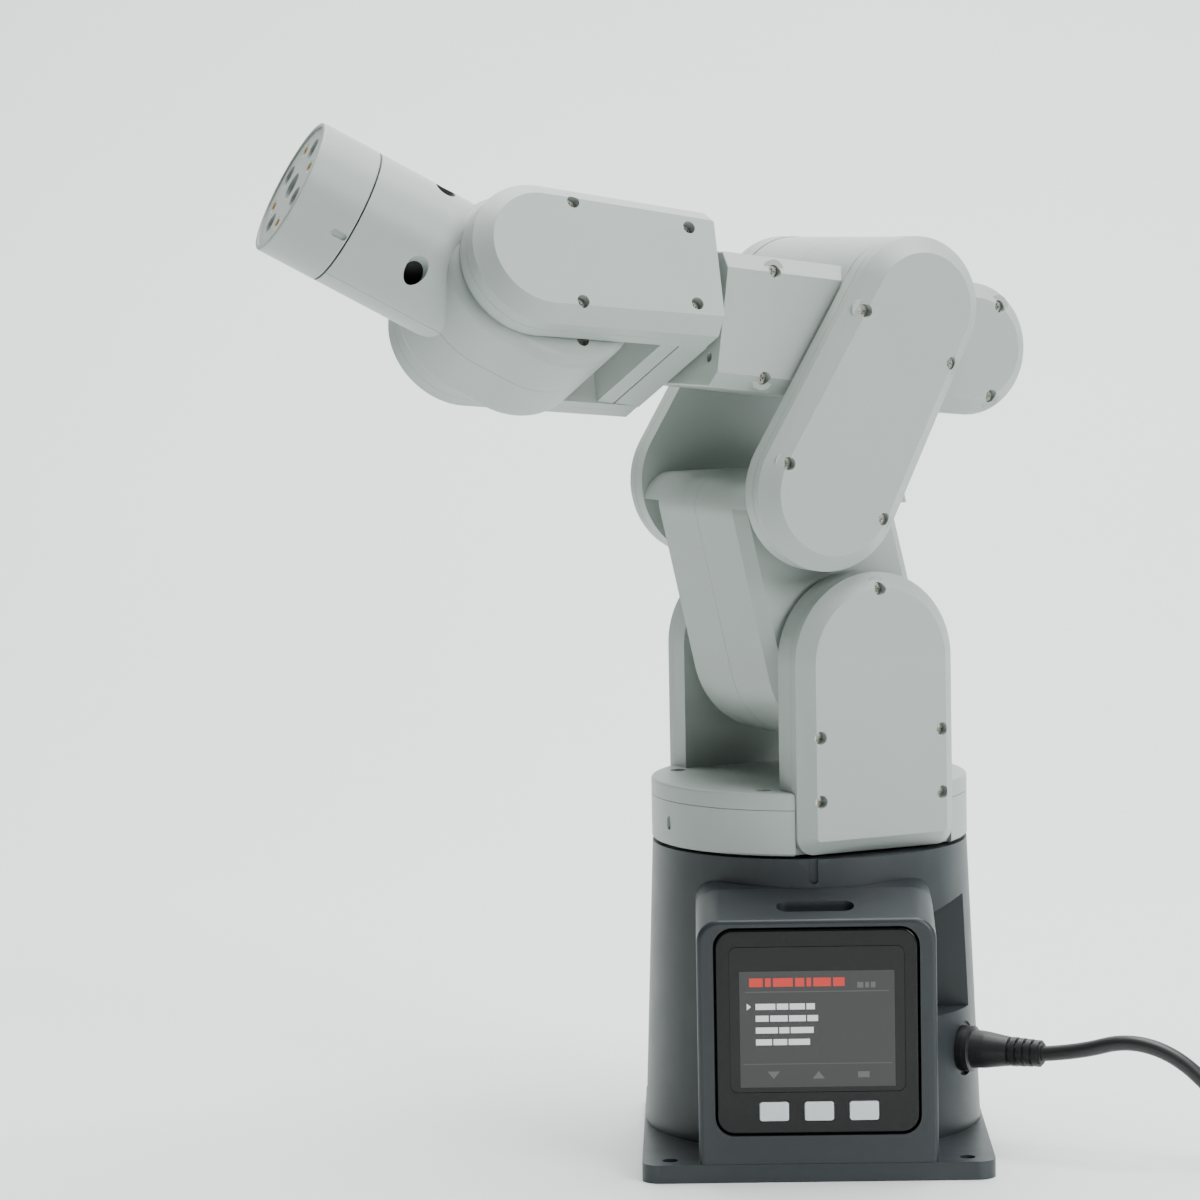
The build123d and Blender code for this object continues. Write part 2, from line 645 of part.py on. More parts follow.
for out, cover_name in ((1, "side_cover_front"), (-1, "side_cover_rear")):
    with BuildPart() as cover:
        bevelled_slab(ARM, PILL, shrink(PILL, PLATE_CHAMFER), out * PLATE_SPLIT, out * PLATE_OUT,
                      PLATE_CHAMFER)
        slab(ARM, shrink(PILL, COVER_INSET), out * PLATE_SPLIT, out * (PLATE_OUT - 3.4), mode=Mode.SUBTRACT)
        for place in SIDE_SCREWS:
            rod(ARM, place, 3.2, out * PLATE_SPLIT, out * (PLATE_OUT - 2.0))
        bore_screws(ARM, SIDE_SCREWS, out, PLATE_SPLIT, PLATE_OUT)
    save(cover, cover_name)

with BuildPart() as side_cover_screws:
    for out in (-1, 1):
        screw_group(ARM, SIDE_SCREWS, out * (PLATE_OUT - HOLE_DEPTH + 1.2), out * (PLATE_IN + 1.0))
save(side_cover_screws, "side_cover_screws")

save_servo("shoulder_servo", ARM, (0, SHOULDER_Z), 45.2, 24.7, 79, -17.5, 17.5)

with BuildPart() as elbow_pins:
    for out in (-1, 1):
        rod(ARM, ELBOW, PIN_R, out * (DRUM_HALF - 4.4), out * (PLATE_SPLIT - SEAM))
        rod(ARM, ELBOW, 10.0, out * (PLATE_SPLIT - SEAM), out * (PLATE_SPLIT + 1.6))
save(elbow_pins, "elbow_pins")

# ================================================================ forearm
TAIL = (TAIL_X, -ROLL_DROP)
FRONT_TOP = (FORE_FRONT - 0.6, -ROLL_DROP + FORE_HALF_H - 0.6)
FRONT_BOTTOM = (FORE_FRONT - 0.6, -ROLL_DROP - FORE_HALF_H + 0.6)
FORE_OUTLINE = [(TAIL, TAIL_R), (FRONT_TOP, 0.6), (FRONT_BOTTOM, 0.6)]
FORE_TOPS = [(TAIL, TAIL_R - FORE_CHAMFER), ((FRONT_TOP[0], FRONT_TOP[1] - FORE_CHAMFER), 0.6),
             ((FRONT_BOTTOM[0], FRONT_BOTTOM[1] + FORE_CHAMFER), 0.6)]
FORE_HOLLOW = [(TAIL, TAIL_R - WALL), ((FORE_FRONT - WALL - 0.6, -ROLL_DROP + FORE_HALF_H - WALL - 0.6), 0.6),
               ((FORE_FRONT - WALL - 0.6, -ROLL_DROP - FORE_HALF_H + WALL + 0.6), 0.6)]
FORE_SCREWS = [(38.2, 5.35), (38.2, -23.05), (-32.0, 3.35), (-32.0, -21.05)]

for out, shell_name in ((1, "forearm_front_shell"), (-1, "forearm_rear_shell")):
    with BuildPart() as shell:
        bevelled_slab(FORE, FORE_OUTLINE, FORE_TOPS, out * SEAM / 2, out * FORE_HALF, FORE_CHAMFER)
        rod(FORE, (0, 0), DRUM_R, out * SEAM / 2, out * DRUM_HALF)
        slab(FORE, FORE_HOLLOW, 0, out * (FORE_HALF - 3.0), mode=Mode.SUBTRACT)
        rod(FORE, (0, 0), DRUM_R - WALL, 0, out * (DRUM_HALF - WALL), mode=Mode.SUBTRACT)
        rod(FORE, (0, 0), 12.0, out * (DRUM_HALF - 4.2), out * (DRUM_HALF - 1))
        rod(FORE, (0, 0), PIN_R + PIN_GAP, out * (DRUM_HALF - 8), out * (DRUM_HALF + 2), mode=Mode.SUBTRACT)
        for place in FORE_SCREWS:
            rod(FORE, place, 3.2, out * SEAM / 2, out * (FORE_HALF - 1.5))
        bore_screws(FORE, FORE_SCREWS, out, 0, FORE_HALF)
        # collar and bore for the roll hub
        shaft(FORE, 11.5, ROLL_HUB_BACK - 0.2, FORE_FRONT - 1, centre=(0, -ROLL_DROP))
        shaft(FORE, PIN_R + PIN_GAP, 30, FORE_FRONT + 2, centre=(0, -ROLL_DROP), mode=Mode.SUBTRACT)
        # blind holes in the front end face
        for rise in (-10.1, 10.1):
            shaft(FORE, 1.4, FORE_FRONT - 2.0, FORE_FRONT + 1, centre=(out * 22.8, rise - ROLL_DROP),
                  mode=Mode.SUBTRACT)
        cut_half(FORE, out)
    save(shell, shell_name)

with BuildPart() as forearm_screws:
    for out in (-1, 1):
        screw_group(FORE, FORE_SCREWS, out * (FORE_HALF - HOLE_DEPTH + 1.2), out * 16.0)
save(forearm_screws, "forearm_screws")

save_servo("elbow_servo", FORE, (0, 0), 40.0, 20.0, 199.3, -17.5, 17.5)

with BuildPart() as roll_servo:
    with BuildSketch(inside(FORE, Plane.YZ.offset(18.5))):
        with Locations((6.5, -ROLL_DROP)):
            RectangleRounded(31, 17, 1.5)
    extrude(amount=27)
    shaft(FORE, 6.0, 45.5, 47.0, centre=(0, -ROLL_DROP))
save(roll_servo, "roll_servo")

# ================================================================ fork
FORK_OUTLINE = [((WRIST_X, 0), FORK_R), ((FORK_BACK + 0.6, FORK_BACK_HALF - 0.6), 0.6),
                ((FORK_BACK + 0.6, 0.6 - FORK_BACK_HALF), 0.6)]
FORK_TOPS = [((WRIST_X, 0), FORK_R - FORK_CHAMFER),
             ((FORK_BACK + 0.6, FORK_BACK_HALF - FORK_CHAMFER - 0.6), 0.6),
             ((FORK_BACK + 0.6, 0.6 + FORK_CHAMFER - FORK_BACK_HALF), 0.6)]
FORK_HOLLOW = [((WRIST_X, 0), FORK_R - COVER_INSET),
               ((FORK_BACK + COVER_INSET + 0.6, FORK_BACK_HALF - COVER_INSET - 0.6), 0.6),
               ((FORK_BACK + COVER_INSET + 0.6, 0.6 + COVER_INSET - FORK_BACK_HALF), 0.6)]
FORK_SCREWS = [(96.4, 14.2), (96.4, -14.2), (62.7, 11.0), (62.7, -11.0)]

with BuildPart() as fork_frame:
    for out in (-1, 1):
        slab(FORK, FORK_OUTLINE, out * FORK_IN, out * (FORK_SPLIT - 0.1))
    block(FORK, (FORK_BACK, -FORK_IN - 0.5, -FORK_BACK_HALF), (WEB_FRONT, FORK_IN + 0.5, FORK_BACK_HALF))
    shaft(FORK, PIN_R + PIN_GAP, FORK_BACK - 1, ROLL_HUB_FRONT, mode=Mode.SUBTRACT)
    # a groove across the web
    for z_end in (-1, 1):
        block(FORK, (62.6, -FORK_IN, min(z_end * FORK_BACK_HALF, z_end * (FORK_BACK_HALF - 0.5))),
              (63.2, FORK_IN, max(z_end * FORK_BACK_HALF, z_end * (FORK_BACK_HALF - 0.5))), mode=Mode.SUBTRACT)
    rod(FORK, (WRIST_X, 0), PIN_R + PIN_GAP, -30, 30, mode=Mode.SUBTRACT)
    for place in FORK_SCREWS:
        for out in (-1, 1):
            rod(FORK, place, SCREW_SHANK_R + 0.1, out * (FORK_IN + 0.5), out * 30, mode=Mode.SUBTRACT)
save(fork_frame, "fork_frame")

for out, cover_name in ((1, "fork_cover_front"), (-1, "fork_cover_rear")):
    with BuildPart() as cover:
        bevelled_slab(FORK, FORK_OUTLINE, FORK_TOPS, out * FORK_SPLIT, out * FORK_OUT, FORK_CHAMFER)
        slab(FORK, FORK_HOLLOW, out * FORK_SPLIT, out * (FORK_OUT - 3.4), mode=Mode.SUBTRACT)
        for place in FORK_SCREWS:
            rod(FORK, place, 3.2, out * FORK_SPLIT, out * (FORK_OUT - 2.0))
        bore_screws(FORK, FORK_SCREWS, out, FORK_SPLIT, FORK_OUT)
    save(cover, cover_name)

with BuildPart() as fork_cover_screws:
    for out in (-1, 1):
        screw_group(FORK, FORK_SCREWS, out * (FORK_OUT - HOLE_DEPTH + 1.2), out * (FORK_IN + 0.9))
save(fork_cover_screws, "fork_cover_screws")

with BuildPart() as roll_hub:
    shaft(FORK, PIN_R, ROLL_HUB_BACK, ROLL_HUB_FRONT)
    shaft(FORK, 3.0, ROLL_HUB_BACK, ROLL_HUB_BACK + 3, mode=Mode.SUBTRACT)
save(roll_hub, "roll_hub")

with BuildPart() as wrist_pins:
    for out in (-1, 1):
        rod(FORK, (WRIST_X, 0), PIN_R, out * (WRIST_HALF - 2.6), out * (FORK_SPLIT - 0.1))
        rod(FORK, (WRIST_X, 0), 10.0, out * (FORK_SPLIT - 0.1), out * (FORK_SPLIT + 1.6))
save(wrist_pins, "wrist_pins")

# ================================================================ wrist
WRIST_BODY = [((0, 0), WRIST_R), ((WRIST_TAIL, 0), WRIST_R)]
WRIST_SCREWS = [(-20.6, 11.6), (-20.6, -11.6)]
TUBE_SCREWS = [(26.4, 13.2), (26.4, -13.2)]
TUBE_WALL = 2.6
TUBE_HOLE_R = 2.9

for out, shell_name in ((1, "wrist_front_shell"), (-1, "wrist_rear_shell")):
    with BuildPart() as shell:
        slab(WRIST, WRIST_BODY, out * SEAM / 2, out * WRIST_HALF)
        ranked = faces().sort_by(Axis(WRIST.origin, WRIST.y_dir))
        fillet((ranked[-1] if out > 0 else ranked[0]).outer_wire().edges(), radius=3.0)
        rod(WRIST, (0, 0), 19.3, out * (WRIST_HALF - 2), out * (WRIST_HALF + 0.7))
        shaft(WRIST, TUBE_R, 0, TUBE_END)
        slab(WRIST, shrink(WRIST_BODY, WALL), -out * 30, out * (WRIST_HALF - WALL), mode=Mode.SUBTRACT)
        shaft(WRIST, TUBE_R - TUBE_WALL, 0, TUBE_END - WALL, mode=Mode.SUBTRACT)
        rod(WRIST, (0, 0), 12.0, out * (WRIST_HALF - 3.2), out * (WRIST_HALF - 1))
        rod(WRIST, (0, 0), PIN_R + PIN_GAP, out * (WRIST_HALF - 8), out * (WRIST_HALF + 4), mode=Mode.SUBTRACT)
        shaft(WRIST, PIN_R + PIN_GAP, 30, TUBE_END + 2, mode=Mode.SUBTRACT)
        for place in WRIST_SCREWS:
            rod(WRIST, place, 2.9, out * SEAM / 2, out * (WRIST_HALF - 1.5))
        bore_screws(WRIST, WRIST_SCREWS, out, 0, WRIST_HALF)
        for place in TUBE_SCREWS:
            rod(WRIST, place, TUBE_HOLE_R, out * 6.0, out * 20.0, mode=Mode.SUBTRACT)
        cut_half(WRIST, out)
    save(shell, shell_name)

with BuildPart() as wrist_screws:
    for out in (-1, 1):
        screw_group(WRIST, WRIST_SCREWS, out * (WRIST_HALF - HOLE_DEPTH + 1.2), out * 9.0)
save(wrist_screws, "wrist_screws")

save_servo("wrist_servo", WRIST, (0, 0), 28.0, 14.0, 180, -11.0, 11.0)

with BuildPart() as flange_servo:
    shaft(WRIST, 12.0, 8.5, 38.5)
    shaft(WRIST, 3.0, 38.5, FLANGE_HUB_BACK - 0.2)
save(flange_servo, "flange_servo")

# ================================================================ tool flange
with BuildPart() as tool_flange:
    shaft(WRIST, TUBE_R, FLANGE_FACE - FLANGE_LEN, FLANGE_FACE)
    rim = faces().sort_by(Axis(WRIST.origin, WRIST.x_dir))
    fillet([rim[0].outer_wire().edges(), rim[-1].outer_wire().edges()], radius=0.5)
    shaft(WRIST, PIN_R, FLANGE_HUB_BACK, FLANGE_FACE - FLANGE_LEN + 1)
    shaft(WRIST, TUBE_R - 1.2, FLANGE_FACE - 0.5, FLANGE_FACE + 1, mode=Mode.SUBTRACT)
    shaft(WRIST, TOOL_BORE_R, FLANGE_FACE - 6, FLANGE_FACE + 1, mode=Mode.SUBTRACT)
    for angle in (45, 135, 225, 315):
        spot = (PEG_CIRCLE_R * cos(radians(angle)), PEG_CIRCLE_R * sin(radians(angle)))
        shaft(WRIST, PEG_HOLE_R, FLANGE_FACE - 8, FLANGE_FACE + 1, centre=spot, mode=Mode.SUBTRACT)
        shaft(WRIST, PEG_HOLE_R + 0.65, FLANGE_FACE - 1.4, FLANGE_FACE + 1, centre=spot, mode=Mode.SUBTRACT)
    for angle in (0, 90, 180, 270):
        spot = (TOOL_BOLT_R * cos(radians(angle)), TOOL_BOLT_R * sin(radians(angle)))
        shaft(WRIST, INSERT_R, FLANGE_FACE - 6.5, FLANGE_FACE + 1, centre=spot, mode=Mode.SUBTRACT)
    # index slot in the side, beside the gap
    slot_plane = inside(WRIST, Plane(origin=(FLANGE_FACE - FLANGE_LEN + 2.6, 12.0, -14.4), x_dir=(1, 0, 0),
                                     z_dir=(0, 0.64, -0.768)))
    with BuildSketch(slot_plane.offset(-0.9)):
        SlotOverall(4.4, 2.0)
    extrude(amount=4, mode=Mode.SUBTRACT)
save(tool_flange, "tool_flange")

with BuildPart() as flange_inserts:
    for angle in (0, 90, 180, 270):
        spot = (TOOL_BOLT_R * cos(radians(angle)), TOOL_BOLT_R * sin(radians(angle)))
        shaft(WRIST, INSERT_R, FLANGE_FACE - 6.5, FLANGE_FACE - 0.6, centre=spot)
        shaft(WRIST, 1.25, FLANGE_FACE - 6.5, FLANGE_FACE, centre=spot, mode=Mode.SUBTRACT)
save(flange_inserts, "flange_inserts")

# ================================================================ power lead
PLUG_END = 68.0
LEAD_START = [(61.6, -28.7, 27.0), (71.0, -33.1, 28.2), (83.6, -38.9, 32.6), (96.2, -44.6, 29.2),
              (107.0, -49.2, 18.6), (118.5, -52.4, 8.2), (133.0, -52.2, 3.4), (147.5, -48.4, 2.9),
              (160.0, -45.4, 3.1)]
LEAD_FINISH = [(189.2, -19.0, 11.3), (189.6, -8.6, 11.3), (191.4, 1.6, 11.8), (193.0, 11.8, 13.0),
               (193.5, 21.0, 13.8)]
COIL_CENTRE = (162.0, -18.0)
COIL_R = 23.0
COIL_HALF = 6.4
COIL_LOW = 0.9
COIL_HIGH = 13.5
ADAPTER_Z = 13.8


def lead_tube(points, name):
    """A tube of straight runs and the largest tangent arcs that its runs allow."""
    vectors = [Vector(*p) for p in points]
    radii = []
    for before, at, after in zip(vectors, vectors[1:], vectors[2:]):
        turn = (at - before).get_angle(after - at)
        radii.append(0.45 * min((at - before).length, (after - at).length) / tan(radians(turn / 2)))
    with BuildPart() as tube:
        with BuildLine() as route:
            FilletPolyline(*points, radius=radii)
        path = route.wire()
        with BuildSketch(Plane(origin=path @ 0, z_dir=path % 0)) as section:
            Circle(LEAD_D / 2)
        sweep(section.sketch, path=path)
    expected = path.length * section.sketch.area
    print(name, "radii", [round(r, 1) for r in radii], "length", round(path.length, 1),
          "volume ratio", round(tube.part.volume / expected, 4))
    save(tube, name)
    return path.length


with BuildPart() as dc_plug:
    with BuildSketch(inside(JACK, Plane.XZ)):
        with BuildLine():
            Polyline((46.3, 0), (46.3, 6.25), (47.9, 6.25), (48.3, 5.3), (52.0, 5.0), (58.5, 4.0), (58.5, 0),
                     (46.3, 0))
        make_face()
    revolve(axis=Axis(JACK.origin, JACK.x_dir))
    for ring in range(4):
        shaft(JACK, 4.0 - 0.12 * ring, 59.3 + 2.2 * ring, 60.8 + 2.2 * ring)
    shaft(JACK, 3.0, 58.0, PLUG_END)
    shaft(JACK, 2.75, 38.0, 46.5)
    shaft(JACK, 1.25, 37.0, JACK_SEAT, mode=Mode.SUBTRACT)
save(dc_plug, "dc_plug")

used = lead_tube(LEAD_START, "power_lead") + lead_tube(LEAD_FINISH, "power_lead_tail")
print("turns in the coil", round((LEAD_LENGTH - used) / (2 * pi * COIL_R), 2))

with BuildPart() as lead_coil:
    with BuildSketch(Plane(origin=(*COIL_CENTRE, COIL_LOW))):
        Circle(COIL_R + COIL_HALF)
        Circle(COIL_R - COIL_HALF, mode=Mode.SUBTRACT)
    extrude(amount=COIL_HIGH - COIL_LOW)
    fillet(edges().filter_by(GeomType.CIRCLE), radius=2.0)
save(lead_coil, "lead_coil")

TIE_AT = Plane(origin=(COIL_CENTRE[0] + COIL_R * cos(radians(125)), COIL_CENTRE[1] + COIL_R * sin(radians(125)), 0),
               x_dir=(cos(radians(125)), sin(radians(125)), 0), z_dir=(0, 0, 1))
with BuildPart() as lead_tie:
    block(TIE_AT, (-COIL_HALF - 1.3, -3.0, 0), (COIL_HALF + 1.0, 3.0, COIL_HIGH + 0.9))
    block(TIE_AT, (-COIL_HALF - 0.4, -4.0, COIL_LOW), (COIL_HALF, 4.0, COIL_HIGH), mode=Mode.SUBTRACT)
save(lead_tie, "lead_tie")

with BuildPart() as power_adapter:
    with BuildSketch(Plane.XY):
        with Locations((179, 49)):
            RectangleRounded(58, 40, 5)
    extrude(amount=29)
    fillet(faces().sort_by(Axis.Z)[-1].outer_wire().edges(), radius=2.5)
    with BuildSketch(Plane.XZ.offset(-30)):
        with Locations((193.5, ADAPTER_Z)):
            Circle(3.4)
    extrude(amount=9, taper=4)
save(power_adapter, "power_adapter")

with BuildPart() as adapter_pins:
    with BuildSketch(Plane.YZ.offset(208)):
        with Locations((49 - 6.35, 14.5), (49 + 6.35, 14.5)):
            Rectangle(1.5, 6.3)
    extrude(amount=17)
save(adapter_pins, "adapter_pins")
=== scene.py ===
"""Looks of the desktop robot arm: materials, screen, power lead, studio and camera (metres)."""
import json
from math import cos, pi, radians, sin

import bpy
from mathutils import Matrix, Vector


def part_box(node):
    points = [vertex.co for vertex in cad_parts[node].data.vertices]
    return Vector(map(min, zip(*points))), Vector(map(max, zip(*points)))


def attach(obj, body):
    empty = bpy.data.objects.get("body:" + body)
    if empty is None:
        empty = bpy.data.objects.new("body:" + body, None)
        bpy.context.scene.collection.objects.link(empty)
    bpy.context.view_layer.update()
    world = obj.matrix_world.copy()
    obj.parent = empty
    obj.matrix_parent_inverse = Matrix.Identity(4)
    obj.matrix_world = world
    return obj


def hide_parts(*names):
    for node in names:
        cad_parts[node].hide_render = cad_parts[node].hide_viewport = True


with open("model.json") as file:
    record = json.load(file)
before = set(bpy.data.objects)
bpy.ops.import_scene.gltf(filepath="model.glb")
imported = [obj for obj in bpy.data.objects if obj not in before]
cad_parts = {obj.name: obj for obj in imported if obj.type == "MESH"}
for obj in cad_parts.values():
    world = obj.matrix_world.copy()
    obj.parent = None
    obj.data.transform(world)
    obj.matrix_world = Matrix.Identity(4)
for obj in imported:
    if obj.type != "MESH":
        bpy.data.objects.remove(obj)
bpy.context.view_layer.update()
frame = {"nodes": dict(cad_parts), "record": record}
MM = 0.001


# ---------------------------------------------------------------- small helpers
def node_tree(name):
    """A new node material with its tree and its main shader."""
    material = bpy.data.materials.new(name)
    material.use_nodes = True
    tree = material.node_tree
    return material, tree, tree.nodes["Principled BSDF"]


def noise(tree, scale, detail=4.0, roughness=0.6):
    """A noise texture in the object's own coordinates."""
    place = tree.nodes.new("ShaderNodeTexCoord")
    texture = tree.nodes.new("ShaderNodeTexNoise")
    texture.inputs["Scale"].default_value = scale
    texture.inputs["Detail"].default_value = detail
    texture.inputs["Roughness"].default_value = roughness
    tree.links.new(place.outputs["Object"], texture.inputs["Vector"])
    return texture


def ramp(tree, source, low, high, start=0.35, end=0.65):
    """Maps a grey value to a range between two colours."""
    node = tree.nodes.new("ShaderNodeValToRGB")
    node.color_ramp.elements[0].position = start
    node.color_ramp.elements[1].position = end
    node.color_ramp.elements[0].color = (*low, 1.0)
    node.color_ramp.elements[1].color = (*high, 1.0)
    tree.links.new(source, node.inputs["Fac"])
    return node


def spread(tree, source, low, high):
    """Maps a 0 to 1 value to a range between two numbers."""
    node = tree.nodes.new("ShaderNodeMapRange")
    node.inputs["To Min"].default_value = low
    node.inputs["To Max"].default_value = high
    tree.links.new(source, node.inputs["Value"])
    return node


def bump(tree, shader, height, strength, distance):
    """Fine relief on a shader, its depth in metres."""
    node = tree.nodes.new("ShaderNodeBump")
    node.inputs["Strength"].default_value = strength
    node.inputs["Distance"].default_value = distance
    tree.links.new(height, node.inputs["Height"])
    tree.links.new(node.outputs["Normal"], shader.inputs["Normal"])
    return node


def shaded(colour, factor):
    """A colour made lighter or darker."""
    return tuple(min(1.0, channel * factor) for channel in colour)


# ---------------------------------------------------------------- materials
def moulded(name, colour, roughness, grain=0.25, mottling=0.04, edge_light=0.0):
    """Moulded plastic: spark-eroded grain, faint flow mottling and a painted highlight that lightens
    sharp edges.
    """
    material, tree, shader = node_tree(name)
    cloud = noise(tree, 35.0, detail=3.0)
    dark, light = shaded(colour, 1 - mottling), shaded(colour, 1 + mottling)
    tone = ramp(tree, cloud.outputs["Fac"], dark, light)
    grain_field = noise(tree, 2600.0, detail=2.0)
    gloss = spread(tree, noise(tree, 120.0).outputs["Fac"], roughness - 0.05, roughness + 0.05)
    tree.links.new(gloss.outputs["Result"], shader.inputs["Roughness"])
    bump(tree, shader, grain_field.outputs["Fac"], grain, 0.00006)
    # Painted highlight: edge_light lightens the base colour on sharp convex edges (Pointiness), standing
    # in for light caught there.
    if edge_light > 0:
        geometry = tree.nodes.new("ShaderNodeNewGeometry")
        edge_highlight = spread(tree, geometry.outputs["Pointiness"], 0.0, 1.0)
        edge_highlight.inputs["From Min"].default_value = 0.52
        edge_highlight.inputs["From Max"].default_value = 0.62
        mix = tree.nodes.new("ShaderNodeMix")
        mix.data_type = "RGBA"
        mix.inputs["B"].default_value = (*shaded(colour, 1 + edge_light), 1.0)
        tree.links.new(edge_highlight.outputs["Result"], mix.inputs["Factor"])
        tree.links.new(tone.outputs["Color"], mix.inputs["A"])
        tree.links.new(mix.outputs["Result"], shader.inputs["Base Color"])
    else:
        tree.links.new(tone.outputs["Color"], shader.inputs["Base Color"])
    return material


def metal(name, colour, roughness):
    """Plated or turned metal with fine scratches and uneven gloss."""
    material, tree, shader = node_tree(name)
    shader.inputs["Metallic"].default_value = 1.0
    stain = noise(tree, 260.0, detail=6.0)
    tone = ramp(tree, stain.outputs["Fac"], shaded(colour, 0.82), shaded(colour, 1.08))
    tree.links.new(tone.outputs["Color"], shader.inputs["Base Color"])
    gloss = spread(tree, stain.outputs["Fac"], roughness * 0.7, roughness * 1.4)
    tree.links.new(gloss.outputs["Result"], shader.inputs["Roughness"])
    bump(tree, shader, noise(tree, 1800.0, detail=8.0).outputs["Fac"], 0.15, 0.00005)
    return material


def gloss_glass(name, colour, roughness):
    """Glossy dark cover with a clear coat and a trace of dust."""
    material, tree, shader = node_tree(name)
    dust = noise(tree, 900.0, detail=8.0, roughness=0.8)
    tone = ramp(tree, dust.outputs["Fac"], colour, shaded(colour, 1.1), 0.6, 0.9)
    tree.links.new(tone.outputs["Color"], shader.inputs["Base Color"])
    gloss = spread(tree, dust.outputs["Fac"], roughness, roughness + 0.12)
    tree.links.new(gloss.outputs["Result"], shader.inputs["Roughness"])
    shader.inputs["Specular IOR Level"].default_value = 0.3
    shader.inputs["Coat Weight"].default_value = 0.1
    shader.inputs["Coat Roughness"].default_value = 0.08
    return material


def circuit_board(name):
    """Green solder mask with traces."""
    material, tree, shader = node_tree(name)
    place = tree.nodes.new("ShaderNodeTexCoord")
    cells = tree.nodes.new("ShaderNodeTexBrick")
    cells.inputs["Scale"].default_value = 90.0
    cells.inputs["Color1"].default_value = (0.01, 0.10, 0.04, 1.0)
    cells.inputs["Color2"].default_value = (0.012, 0.13, 0.05, 1.0)
    cells.inputs["Mortar"].default_value = (0.05, 0.22, 0.10, 1.0)
    tree.links.new(place.outputs["Object"], cells.inputs["Vector"])
    tree.links.new(cells.outputs["Color"], shader.inputs["Base Color"])
    shader.inputs["Roughness"].default_value = 0.35
    bump(tree, shader, noise(tree, 700.0).outputs["Fac"], 0.2, 0.00005)
    return material


def glow(name, colour, strength):
    """Lit display area, with the fine rows of its pixels."""
    material, tree, shader = node_tree(name)
    place = tree.nodes.new("ShaderNodeTexCoord")
    rows = tree.nodes.new("ShaderNodeTexWave")
    rows.bands_direction = "Z"
    rows.inputs["Scale"].default_value = 2500.0
    tree.links.new(place.outputs["Object"], rows.inputs["Vector"])
    tone = ramp(tree, rows.outputs["Fac"], shaded(colour, 0.82), colour, 0.2, 0.6)
    tree.links.new(tone.outputs["Color"], shader.inputs["Emission Color"])
    shader.inputs["Emission Strength"].default_value = strength
    shader.inputs["Base Color"].default_value = (0.01, 0.01, 0.01, 1.0)
    shader.inputs["Roughness"].default_value = 0.3
    return material


WHITE = (0.36, 0.395, 0.375)
CHARCOAL = (0.018, 0.022, 0.026)
# edge_light in a finish sets the strength of its painted edge highlight.
finishes = {
    "arm_white": moulded("arm_plastic", WHITE, 0.46, grain=0.16, mottling=0.015, edge_light=0.05),
    "base_black": moulded("base_plastic", CHARCOAL, 0.42, grain=0.2, mottling=0.05, edge_light=0.5),
    "display_black": gloss_glass("module_plastic", (0.002, 0.002, 0.0022), 0.2),
    "screen": gloss_glass("screen_cover", (0.002, 0.002, 0.0022), 0.1),
    "key_grey": moulded("key_plastic", (0.62, 0.65, 0.67), 0.4, grain=0.1, edge_light=0.1),
    "steel": metal("screw_steel", (0.75, 0.72, 0.66), 0.25),
    "brass": metal("insert_brass", (0.72, 0.55, 0.28), 0.3),
    "servo_black": moulded("servo_plastic", (0.02, 0.02, 0.022), 0.5),
    "board_green": circuit_board("solder_mask"),
    "jack_black": moulded("jack_plastic", (0.012, 0.012, 0.013), 0.35, grain=0.1),
    "cord_black": moulded("cord_rubber", (0.014, 0.014, 0.015), 0.42, grain=0.2, mottling=0.15),
    "adapter_black": moulded("adapter_plastic", (0.016, 0.016, 0.018), 0.5, grain=0.5, edge_light=0.5),
    "plated": metal("pin_plating", (0.8, 0.8, 0.78), 0.18),
}
slot_of = {part["node"]: part["material_slot"] for part in frame["record"]["subparts"]}
for node_name in frame["nodes"]:
    piece = bpy.data.objects[node_name]
    if not piece.material_slots:
        piece.data.materials.append(None)
    for material_slot in piece.material_slots:
        material_slot.material = finishes[slot_of[node_name]]


# ---------------------------------------------------------------- screen picture
def flat_mesh(name, outlines, y, material):
    """Flat shapes in the plane of the screen, each a list of (x, z) corners in millimetres."""
    corners = []
    shapes = []
    for outline in outlines:
        shapes.append(range(len(corners), len(corners) + len(outline)))
        corners.extend((x * MM, y * MM, z * MM) for x, z in outline)
    mesh = bpy.data.meshes.new(name)
    mesh.from_pydata(corners, [], [list(shape) for shape in shapes])
    mesh.materials.append(material)
    piece = bpy.data.objects.new(name, mesh)
    bpy.context.collection.objects.link(piece)
    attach(piece, "base")


def bar(left, low, width, height):
    """The corners of an upright rectangle."""
    return [(left, low), (left + width, low), (left + width, low + height), (left, low + height)]


def dashes(left, low, height, widths, gap):
    """A row of short blocks that stands for a line of writing."""
    row = []
    for width in widths:
        row.append(bar(left, low, width, height))
        left += width + gap
    return row


def middle_x(name):
    """The middle of a CAD node from left to right, in millimetres."""
    low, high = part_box(name)
    return (low[0] + high[0]) / 2 / MM


PANEL_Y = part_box("display_panel")[0][1] / MM
GROUND_Y = PANEL_Y - 0.02
MARKS_Y = PANEL_Y - 0.03
LCD_W = 40.8
LCD_LOW = 25.4
LCD_H = 30.9
TITLE_WIDTHS = (3.6, 1.5, 5.2, 2.4, 1.2, 4.6, 3.0)
ROW_WIDTHS = ((5.2, 3.0, 4.0, 2.2), (3.4, 4.6, 4.4, 2.8), (5.8, 2.6, 6.0), (4.2, 3.6, 5.6))
TOP_ROW = 46.1
ROW_PITCH = 3.15
left_edge = middle_x("display_panel") - LCD_W / 2
LINE = glow("screen_line", (0.30, 0.31, 0.31), 0.35)
TITLE = glow("screen_title", (1.0, 0.035, 0.02), 0.9)
WRITING = glow("screen_writing", (0.86, 0.90, 0.92), 1.25)
LEGEND = glow("screen_legend", (0.26, 0.28, 0.28), 0.5)
GROUND = glow("screen_ground", (0.05, 0.05, 0.05), 0.8)
